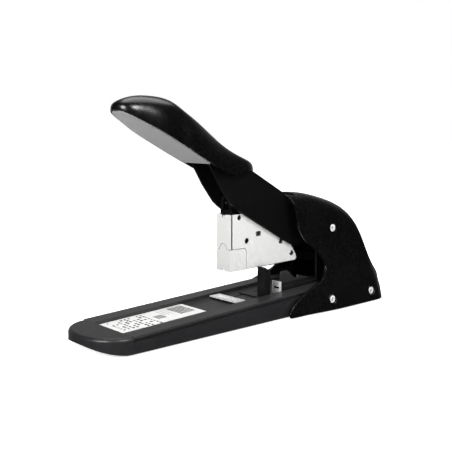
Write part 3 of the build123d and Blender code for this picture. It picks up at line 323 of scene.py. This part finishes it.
class Materials:
    """Builds one material per finish."""

    def __init__(self, groups: NodeGroups) -> None:
        self.groups = groups
        self._made: dict[str, bpy.types.Material] = {}

    def _group(self, tree: bpy.types.NodeTree, name: str) -> bpy.types.Node:
        """Put a shared group into a material's tree.

        Args:
            tree: The material's tree.
            name: Group name.

        Returns:
            The group node.
        """
        node = tree.nodes.new("ShaderNodeGroup")
        node.node_tree = self.groups.get(name)
        return node

    @staticmethod
    def _madd(tree: bpy.types.NodeTree, value: bpy.types.NodeSocket, factor: float,
              offset: float) -> bpy.types.NodeSocket:
        """Value times factor plus offset.

        Args:
            tree: The material's tree.
            value: Socket to scale.
            factor: Factor.
            offset: Offset.

        Returns:
            The result's socket.
        """
        node = tree.nodes.new("ShaderNodeMath")
        node.operation = "MULTIPLY_ADD"
        tree.links.new(value, node.inputs[0])
        node.inputs[1].default_value = factor
        node.inputs[2].default_value = offset
        return node.outputs[0]

    @staticmethod
    def _blend(tree: bpy.types.NodeTree, mask: bpy.types.NodeSocket,
               first: tuple[float, float, float] | bpy.types.NodeSocket,
               second: tuple[float, float, float]) -> bpy.types.NodeSocket:
        """Mix two colours by a mask.

        Args:
            tree: The material's tree.
            mask: Mixing share.
            first: Colour or socket where the mask is 0.
            second: Colour where the mask is 1.

        Returns:
            The mixed colour's socket.
        """
        node = tree.nodes.new("ShaderNodeMix")
        node.data_type = "RGBA"
        tree.links.new(mask, node.inputs[0])
        if isinstance(first, tuple):
            node.inputs[6].default_value = (*first, 1.0)
        else:
            tree.links.new(first, node.inputs[6])
        node.inputs[7].default_value = (*second, 1.0)
        return node.outputs[2]

    def get(self, finish: Finish) -> bpy.types.Material:
        """Return the finish's material, building it the first time.

        Args:
            finish: The finish.

        Returns:
            The material.
        """
        if finish.name in self._made:
            return self._made[finish.name]
        material = bpy.data.materials.new(finish.name)
        material.use_nodes = True
        tree = material.node_tree
        shader = tree.nodes["Principled BSDF"]
        relief = self._group(tree, finish.grain.value)
        relief.inputs["Scale"].default_value = finish.scale
        relief.inputs["Relief"].default_value = finish.relief
        relief.inputs["Edge"].default_value = finish.edge
        tree.links.new(relief.outputs["Normal"], shader.inputs["Normal"])
        smudges = self._group(tree, "smudges")
        drift = self._madd(tree, relief.outputs["Drift"], finish.spread, finish.roughness)
        add = tree.nodes.new("ShaderNodeMath")
        add.operation = "ADD"
        add.use_clamp = True
        tree.links.new(drift, add.inputs[0])
        tree.links.new(self._madd(tree, smudges.outputs["Mask"], finish.spread * 0.8, 0.0),
                       add.inputs[1])
        tree.links.new(add.outputs[0], shader.inputs["Roughness"])
        lifted = tuple(min(c * 1.12 + 0.0006, 1.0) for c in finish.colour)
        colour = self._blend(tree, smudges.outputs["Mask"], finish.colour, lifted)
        if finish.wear:
            wear = self._group(tree, "edge_wear")
            wear.inputs["Radius"].default_value = finish.edge * 1.4
            mask = self._madd(tree, wear.outputs["Mask"], finish.wear, 0.0)
            worn = tuple(min(c * 1.5 + 0.03, 1.0) for c in finish.colour)
            colour = self._blend(tree, mask, colour, worn)
        tree.links.new(colour, shader.inputs["Base Color"])
        shader.inputs["Metallic"].default_value = finish.metallic
        self._made[finish.name] = material
        return material


class MeshBuilder:
    """Collects vertices and faces for one object."""

    def __init__(self) -> None:
        self.verts: list[tuple[float, float, float]] = []
        self.faces: list[tuple[int, ...]] = []

    def ring_tube(self, rings: list[list[Vector]], closed: bool = False) -> None:
        """Join equal rings of points into a tube, capped where it is open.

        Args:
            rings: Rings of points, all of one length.
            closed: Whether the last ring joins the first.
        """
        start, count = len(self.verts), len(rings[0])
        for ring in rings:
            self.verts.extend(tuple(p) for p in ring)
        pairs = list(range(len(rings) - 1)) + ([len(rings) - 1] if closed else [])
        for a in pairs:
            b = (a + 1) % len(rings)
            for i in range(count):
                j = (i + 1) % count
                self.faces.append((start + a * count + i, start + a * count + j,
                                   start + b * count + j, start + b * count + i))
        if not closed:
            self.faces.append(tuple(start + i for i in reversed(range(count))))
            last = start + (len(rings) - 1) * count
            self.faces.append(tuple(last + i for i in range(count)))

    def tube(self, path: list[Vector], radius: float, sides: int = 10,
             closed: bool = False) -> None:
        """Round wire along a path.

        Args:
            path: Points of the centreline.
            radius: Wire radius.
            sides: Sides of the round.
            closed: Whether the wire is a loop.
        """
        rings, side = [], None
        for i, point in enumerate(path):
            before = path[i - 1] if i or closed else point
            after = path[(i + 1) % len(path)] if i + 1 < len(path) or closed else point
            along = (after - before).normalized()
            if side is None:
                side = along.orthogonal().normalized()
            side = (side - along * side.dot(along)).normalized()
            across = along.cross(side)
            rings.append([point + (side * math.cos(t) + across * math.sin(t)) * radius
                          for t in (2 * math.pi * k / sides for k in range(sides))])
        self.ring_tube(rings, closed)

    def dome(self, centre: Vector, axis: Vector, radius: float, height: float,
             sides: int = 24, steps: int = 5) -> None:
        """Low domed head, flat on its base.

        Args:
            centre: Middle of the base.
            axis: Direction the dome stands out.
            radius: Base radius.
            height: Height of the crown.
            sides: Sides of the round.
            steps: Rings up to the crown.
        """
        axis = axis.normalized()
        side = axis.orthogonal().normalized()
        across = axis.cross(side)
        rings = []
        for step in range(steps + 1):
            angle = 0.5 * math.pi * step / steps * 0.96
            rise, wide = height * math.sin(angle), radius * math.cos(angle)
            rings.append([centre + axis * rise + (side * math.cos(t) + across * math.sin(t)) * wide
                          for t in (2 * math.pi * k / sides for k in range(sides))])
        self.ring_tube(rings)

    def make(self, name: str) -> bpy.types.Object:
        """Turn what was collected into a smooth-shaded object.

        Args:
            name: Object name.

        Returns:
            The object, linked to the scene.
        """
        mesh = bpy.data.meshes.new(name)
        mesh.from_pydata(self.verts, [], self.faces)
        mesh.validate()
        work = bmesh.new()
        work.from_mesh(mesh)
        bmesh.ops.recalc_face_normals(work, faces=work.faces)
        for face in work.faces:
            face.smooth = len(face.verts) == 4
        work.to_mesh(mesh)
        work.free()
        obj = bpy.data.objects.new(name, mesh)
        bpy.context.scene.collection.objects.link(obj)
        return obj


@dataclass
class Assembly:
    """Something that dresses CAD nodes of one body and may add its own pieces.

    Attributes:
        materials: Where materials come from.
        body: CAD body its pieces ride on.
    """

    materials: Materials
    body: str

    def add(self, builder: MeshBuilder, name: str, finish: Finish) -> bpy.types.Object:
        """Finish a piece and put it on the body.

        Args:
            builder: The collected mesh.
            name: Object name.
            finish: Its finish.

        Returns:
            The object.
        """
        obj = builder.make(name)
        obj.data.materials.append(self.materials.get(finish))
        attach(obj, self.body)
        return obj


@dataclass
class CadDress(Assembly):
    """Gives every CAD node the finish of its record slot."""

    def dress(self, nodes: dict[str, bpy.types.Object], slots: dict[str, str]) -> None:
        """Replace each node's imported material.

        Args:
            nodes: CAD nodes by name.
            slots: Material slot of each node.
        """
        for name, node in nodes.items():
            finish = FINISHES[slots[name]]
            node.data.materials.clear()
            node.data.materials.append(self.materials.get(finish))


@dataclass
class LabelPrint(Assembly):
    """Generic bars and blocks printed on the nose label, with no lettering.

    Attributes:
        ink: How far the print stands above the label's face.
        margin: Blank edge on either side.
        seed: Start of the random draws.
        rows: Rows and columns of the field of marks at the nose end.
        pitch: Distance between the rows of marks.
        field, block, lines, table: Distance from the label's nose end to each part of the print.
    """

    ink: float = 0.02 * MM
    margin: float = 2.6 * MM
    seed: int = 7
    rows: int = 9
    pitch: float = 3.4 * MM
    field: float = 5.0 * MM
    block: float = 37.0 * MM
    lines: float = 46.0 * MM
    table: float = 56.0 * MM

    def bar(self, builder: MeshBuilder, low: Vector, along: float, across: float,
            lift: Callable[[float], float]) -> None:
        """Add one thin printed rectangle that follows the label's slope.

        Args:
            builder: Where it goes.
            low: Its corner nearest the nose on the far side; only x and y count.
            along: Length along Y.
            across: Width along X.
            lift: Height of the label's face at a y.
        """
        rings = []
        for y in (low.y, low.y + along):
            top = lift(y) + self.ink
            rings.append([Vector((low.x, y, top - 2 * self.ink)),
                          Vector((low.x + across, y, top - 2 * self.ink)),
                          Vector((low.x + across, y, top)), Vector((low.x, y, top))])
        builder.ring_tube(rings)

    def build_on(self, plate: bpy.types.Object) -> None:
        """Print on the plate: rows of marks, a block in the middle and a ruled table.

        Args:
            plate: The label's CAD node.
        """
        low, high = box_of([plate.matrix_world @ v.co for v in plate.data.vertices])
        rise = (high.z - low.z - LABEL_THICK) / (high.y - low.y)

        def lift(y: float) -> float:
            """Height of the label's face at y."""
            return low.z + LABEL_THICK + rise * (y - low.y)

        builder = MeshBuilder()
        draw = random.Random(self.seed)
        width = high.x - low.x - 2 * self.margin
        left = low.x + self.margin
        row, filled = width / self.rows, 0.62
        for index in range(self.rows):
            y = low.y + self.field + index * self.pitch
            for line in range(self.rows):
                if draw.random() < filled:
                    size = draw.uniform(0.45, 0.85)
                    self.bar(builder, Vector((left + line * row, y, 0)), 1.9 * MM * size + 0.3 * MM,
                             row * size, lift)
        for index in range(5):
            y = low.y + self.block + index * 1.5 * MM
            self.bar(builder, Vector((left + width * 0.30, y, 0)), 0.9 * MM, width * 0.28, lift)
        for index in range(6):
            y = low.y + self.lines + index * 3.0 * MM
            self.bar(builder, Vector((left, y, 0)), 0.35 * MM, width * draw.uniform(0.35, 0.6), lift)
        for index in range(6):
            y = low.y + self.table + index * 2.2 * MM
            self.bar(builder, Vector((left, y, 0)), 1.3 * MM, width * 0.62, lift)
        self.add(builder, "label_print", PRINT_INK)


@dataclass
class Fasteners(Assembly):
    """Rolled rims, crowned pin ends and flat black crosses of painted recess shade on the fasteners of
    one node.

    Attributes:
        finish: Finish of the pieces.
    """

    finish: Finish

    def rims(self, node: bpy.types.Object, wire: float) -> None:
        """Rolled rim on both ends of each rivet that lies along X.

        Args:
            node: CAD node, one or more rivets.
            wire: Radius of the rim's bead.
        """
        builder = MeshBuilder()
        for low, high in islands(node):
            middle = (low + high) / 2
            radius = (high.z - low.z) / 2 - 1.5 * wire
            for x in (low.x + 0.6 * wire, high.x - 0.6 * wire):
                path = [Vector((x, middle.y + radius * math.cos(t), middle.z + radius * math.sin(t)))
                        for t in (2 * math.pi * k / 28 for k in range(28))]
                builder.tube(path, wire, closed=True)
        self.add(builder, f"{node.name}_rims", self.finish)

    def crowns(self, node: bpy.types.Object, height: float) -> None:
        """Crowned end on both ends of a pin that lies along X.

        Args:
            node: CAD node.
            height: Height of the crown.
        """
        builder = MeshBuilder()
        for low, high in islands(node):
            middle = (low + high) / 2
            radius = (high.z - low.z) / 2 * 0.9
            for x, out in ((low.x, -1), (high.x, 1)):
                builder.dome(Vector((x - out * 0.02 * MM, middle.y, middle.z)), Vector((out, 0, 0)),
                             radius, height)
        self.add(builder, f"{node.name}_crowns", self.finish)

    def recess_shade_crosses(self, node: bpy.types.Object, arm: float, wide: float) -> None:
        """Flat black cross on the underside of each upright screw: painted shade in place of the
        shadowed driver recess.

        Args:
            node: CAD node of the screws.
            arm: Length of the cross.
            wide: Width of its arms.
        """
        builder = MeshBuilder()
        deep = 0.03 * MM
        for low, high in islands(node):
            middle = (low + high) / 2
            # each cross is a thin black slab of painted shade; the recess itself is not modelled
            for along, across in ((arm, wide), (wide, arm)):
                rings = [[Vector((middle.x + a * along / 2, middle.y + b * across / 2, z))
                          for a, b in ((-1, -1), (1, -1), (1, 1), (-1, 1))]
                         for z in (low.z - deep, low.z + deep)]
                builder.ring_tube(rings)
        self.add(builder, f"{node.name}_crosses", self.finish)


@dataclass
class CoilSpring(Assembly):
    """Compression spring with closed ends.

    Attributes:
        joint: Not used.
        axis: Direction from its loaded end to its seat.
        wire: Radius of the wire.
        turns: Working turns.
        travel: Not used.
        steps: Points on each turn.
    """

    joint: str
    axis: Vector
    wire: float
    turns: int
    travel: float
    steps: int = 20

    def stand_for(self, node: bpy.types.Object) -> None:
        """Take the place of the plain CAD spring.

        Args:
            node: CAD node of the spring.
        """
        points = [node.matrix_world @ v.co for v in node.data.vertices]
        middle = sum(box_of(points), Vector()) / 2
        axis = self.axis.normalized()
        heights = [(p - middle).dot(axis) for p in points]
        low, high = min(heights) + self.wire, max(heights) - self.wire
        radius = max(((p - middle) - axis * (p - middle).dot(axis)).length for p in points) - self.wire
        side = axis.orthogonal().normalized()
        across = axis.cross(side)
        closed = 2 * self.wire * 1.05
        total = (self.turns + 2) * self.steps
        path = []
        for index in range(total + 1):
            turn = index / self.steps
            worked = min(max(turn - 1, 0), self.turns) / self.turns
            ends = min(turn, 1) + max(turn - 1 - self.turns, 0)
            height = low + ends * closed + worked * (high - low - 2 * closed)
            angle = 2 * math.pi * turn
            path.append(middle + axis * height
                        + (side * math.cos(angle) + across * math.sin(angle)) * radius)
        builder = MeshBuilder()
        builder.tube(path, self.wire, sides=8)
        finish = FINISHES["spring_steel"]
        obj = self.add(builder, f"{node.name}_coil", finish)
        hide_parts(node.name)
        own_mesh(obj)


@dataclass
class Studio:
    """Floor, light and camera."""

    azimuth: float = 48.30
    elevation: float = 7.60
    lens: float = 58.94
    position: tuple[float, float, float] = (0.4065, -0.3755, 0.1434)

    def back(self) -> Vector:
        """Direction from the subject to the camera."""
        a, e = math.radians(self.azimuth), math.radians(self.elevation)
        return Vector((math.sin(a) * math.cos(e), -math.cos(a) * math.cos(e), math.sin(e)))

    def camera(self) -> bpy.types.Object:
        """Place the camera.

        Returns:
            The camera object.
        """
        data = bpy.data.cameras.new("camera")
        data.lens, data.sensor_width = self.lens, 36.0
        data.clip_start, data.clip_end = 0.01, 20.0
        obj = bpy.data.objects.new("camera", data)
        bpy.context.scene.collection.objects.link(obj)
        back = self.back()
        right = Vector((math.cos(math.radians(self.azimuth)), math.sin(math.radians(self.azimuth)), 0))
        up = back.cross(right)
        turn = Matrix((right, up, back)).transposed()
        obj.matrix_world = Matrix.Translation(self.position) @ turn.to_4x4()
        bpy.context.scene.camera = obj
        return obj

    @staticmethod
    def panel(name: str, place: tuple[float, float, float], target: tuple[float, float, float],
              size: tuple[float, float], power: float) -> bpy.types.Object:
        """Rectangular soft light that faces a point.

        Args:
            name: Light name.
            place: Position.
            target: Point it faces.
            size: Width and height.
            power: Watts.

        Returns:
            The light object.
        """
        data = bpy.data.lights.new(name, "AREA")
        data.shape, data.size, data.size_y, data.energy = "RECTANGLE", *size, power
        obj = bpy.data.objects.new(name, data)
        obj.location = place
        aim = Vector(target) - Vector(place)
        obj.rotation_mode = "QUATERNION"
        obj.rotation_quaternion = aim.to_track_quat("-Z", "Y")
        obj.visible_camera = False
        bpy.context.scene.collection.objects.link(obj)
        return obj

    def floor(self) -> bpy.types.Object:
        """Pale floor that reads as plain white.

        Returns:
            The floor object.
        """
        builder = MeshBuilder()
        half = 6.0
        builder.verts = [(-half, -half, 0.0), (half, -half, 0.0), (half, half, 0.0), (-half, half, 0.0)]
        builder.faces = [(0, 1, 2, 3)]
        obj = builder.make("floor")
        material = bpy.data.materials.new("floor_white")
        material.use_nodes = True
        shader = material.node_tree.nodes["Principled BSDF"]
        shader.inputs["Base Color"].default_value = (0.92, 0.92, 0.92, 1.0)
        shader.inputs["Roughness"].default_value = 0.9
        shader.inputs["Specular IOR Level"].default_value = 0.1
        shader.inputs["Emission Color"].default_value = (1.0, 1.0, 1.0, 1.0)
        shader.inputs["Emission Strength"].default_value = 0.66
        obj.data.materials.append(material)
        obj.visible_glossy = False
        return obj

    def world(self) -> None:
        """White to the camera, a dim gradient to reflections, soft grey to diffuse light."""
        world = bpy.data.worlds.new("studio")
        bpy.context.scene.world = world
        world.use_nodes = True
        tree = world.node_tree
        sink = tree.nodes["World Output"]
        seen = tree.nodes["Background"]
        seen.inputs["Color"].default_value = (1.0, 1.0, 1.0, 1.0)
        seen.inputs["Strength"].default_value = 1.0
        coords = tree.nodes.new("ShaderNodeTexCoord")
        dot = tree.nodes.new("ShaderNodeVectorMath")
        dot.operation = "DOT_PRODUCT"
        tree.links.new(coords.outputs["Generated"], dot.inputs[0])
        away = -self.back()
        dot.inputs[1].default_value = (away.x, away.y, 0.25)
        ramp = tree.nodes.new("ShaderNodeMapRange")
        ramp.inputs["From Min"].default_value = 0.35
        ramp.inputs["From Max"].default_value = 0.98
        ramp.inputs["To Min"].default_value = 0.012
        ramp.inputs["To Max"].default_value = 0.40
        tree.links.new(dot.outputs["Value"], ramp.inputs["Value"])
        parts = tree.nodes.new("ShaderNodeSeparateXYZ")
        tree.links.new(coords.outputs["Generated"], parts.inputs[0])
        low = tree.nodes.new("ShaderNodeMapRange")
        low.inputs["From Min"].default_value = 0.18
        low.inputs["From Max"].default_value = 0.50
        low.inputs["To Min"].default_value = 1.0
        low.inputs["To Max"].default_value = 0.05
        tree.links.new(parts.outputs["Z"], low.inputs["Value"])
        dim = tree.nodes.new("ShaderNodeMath")
        dim.operation = "MULTIPLY"
        tree.links.new(ramp.outputs["Result"], dim.inputs[0])
        tree.links.new(low.outputs["Result"], dim.inputs[1])
        mirrored = tree.nodes.new("ShaderNodeBackground")
        tree.links.new(dim.outputs[0], mirrored.inputs["Strength"])
        mirrored.inputs["Color"].default_value = (1.0, 1.0, 1.0, 1.0)
        diffuse = tree.nodes.new("ShaderNodeBackground")
        diffuse.inputs["Color"].default_value = (1.0, 1.0, 1.0, 1.0)
        diffuse.inputs["Strength"].default_value = 0.55
        path = tree.nodes.new("ShaderNodeLightPath")
        first = tree.nodes.new("ShaderNodeMixShader")
        tree.links.new(path.outputs["Is Glossy Ray"], first.inputs[0])
        tree.links.new(diffuse.outputs[0], first.inputs[1])
        tree.links.new(mirrored.outputs[0], first.inputs[2])
        second = tree.nodes.new("ShaderNodeMixShader")
        tree.links.new(path.outputs["Is Camera Ray"], second.inputs[0])
        tree.links.new(first.outputs[0], second.inputs[1])
        tree.links.new(seen.outputs[0], second.inputs[2])
        tree.links.new(second.outputs[0], sink.inputs["Surface"])

    def build(self) -> None:
        """Make everything that isn't part of the object."""
        scene = bpy.context.scene
        scene.view_settings.view_transform = "Standard"
        scene.view_settings.look = "None"
        scene.cycles.max_bounces = 8
        self.world()
        self.floor()
        middle = (0.0, -0.02, 0.07)
        self.panel("overhead", (-0.25, 0.25, 0.95), middle, (0.8, 0.8), 5.0)
        self.panel("key", (1.10, -0.12, 0.98), middle, (0.42, 0.42), 15.0)
        self.panel("front", (0.28, -1.10, 0.62), middle, (0.40, 0.40), 13.0)
        self.camera()


def box_of(points: list[Vector]) -> tuple[Vector, Vector]:
    """Smallest box around points.

    Args:
        points: The points.

    Returns:
        Lowest and highest corner.
    """
    return (Vector(tuple(min(p[i] for p in points) for i in range(3))),
            Vector(tuple(max(p[i] for p in points) for i in range(3))))


def islands(node: bpy.types.Object) -> list[tuple[Vector, Vector]]:
    """Box of each separate solid of a node.

    Args:
        node: The node.

    Returns:
        Lowest and highest corner of each solid, in world coordinates.
    """
    work = bmesh.new()
    work.from_mesh(node.data)
    bmesh.ops.remove_doubles(work, verts=work.verts, dist=1e-6)
    seen: set[bmesh.types.BMVert] = set()
    boxes = []
    for start in work.verts:
        if start in seen:
            continue
        seen.add(start)
        queue, found = [start], []
        while queue:
            vert = queue.pop()
            found.append(node.matrix_world @ vert.co)
            for edge in vert.link_edges:
                other = edge.other_vert(vert)
                if other not in seen:
                    seen.add(other)
                    queue.append(other)
        boxes.append(box_of(found))
    work.free()
    return sorted(boxes, key=lambda pair: tuple(pair[0]))


def slots_of(record: dict) -> dict[str, str]:
    """Material slot of each node.

    Args:
        record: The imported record.

    Returns:
        Slot names by node name.
    """
    return {part["node"]: part["material_slot"] for part in record["subparts"]}


def main() -> None:
    """Build the whole scene."""
    logging.basicConfig(level=logging.INFO, format="%(name)s %(message)s")
    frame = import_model()
    materials = Materials(NodeGroups())
    nodes = frame["nodes"]
    CadDress(materials, "base").dress(nodes, slots_of(frame["record"]))
    LabelPrint(materials, "base").build_on(nodes["label_plate"])
    rivets = Fasteners(materials, "base", FINISHES["bright_steel"])
    for name in ("foot_rivets", "pivot_rivet"):
        rivets.rims(nodes[name], RIM_WIRE)
    tilt = math.radians(BUTTON_TILT)
    CoilSpring(materials, "head", "pusher_slide", Vector((0, 1, 0)), PUSHER_WIRE, PUSHER_TURNS,
               PUSHER_TRAVEL).stand_for(nodes["pusher_spring"])
    CoilSpring(materials, "base", "button_press", Vector((0, -math.cos(tilt), -math.sin(tilt))),
               BUTTON_WIRE, BUTTON_TURNS, BUTTON_TRAVEL).stand_for(nodes["button_spring"])
    pins = Fasteners(materials, "head", FINISHES["zinc_steel"])
    for name in ("head_pin_upper", "head_pin_lower"):
        pins.crowns(nodes[name], CROWN_HEIGHT)
    # black crosses of painted shade stand in for the screws' driver recesses
    screws = Fasteners(materials, "base", FINISHES["black_plastic"])
    screws.recess_shade_crosses(nodes["bottom_screws"], CROSS_ARM, CROSS_WIDTH)
    Studio().build()


if __name__ == "__main__":
    main()
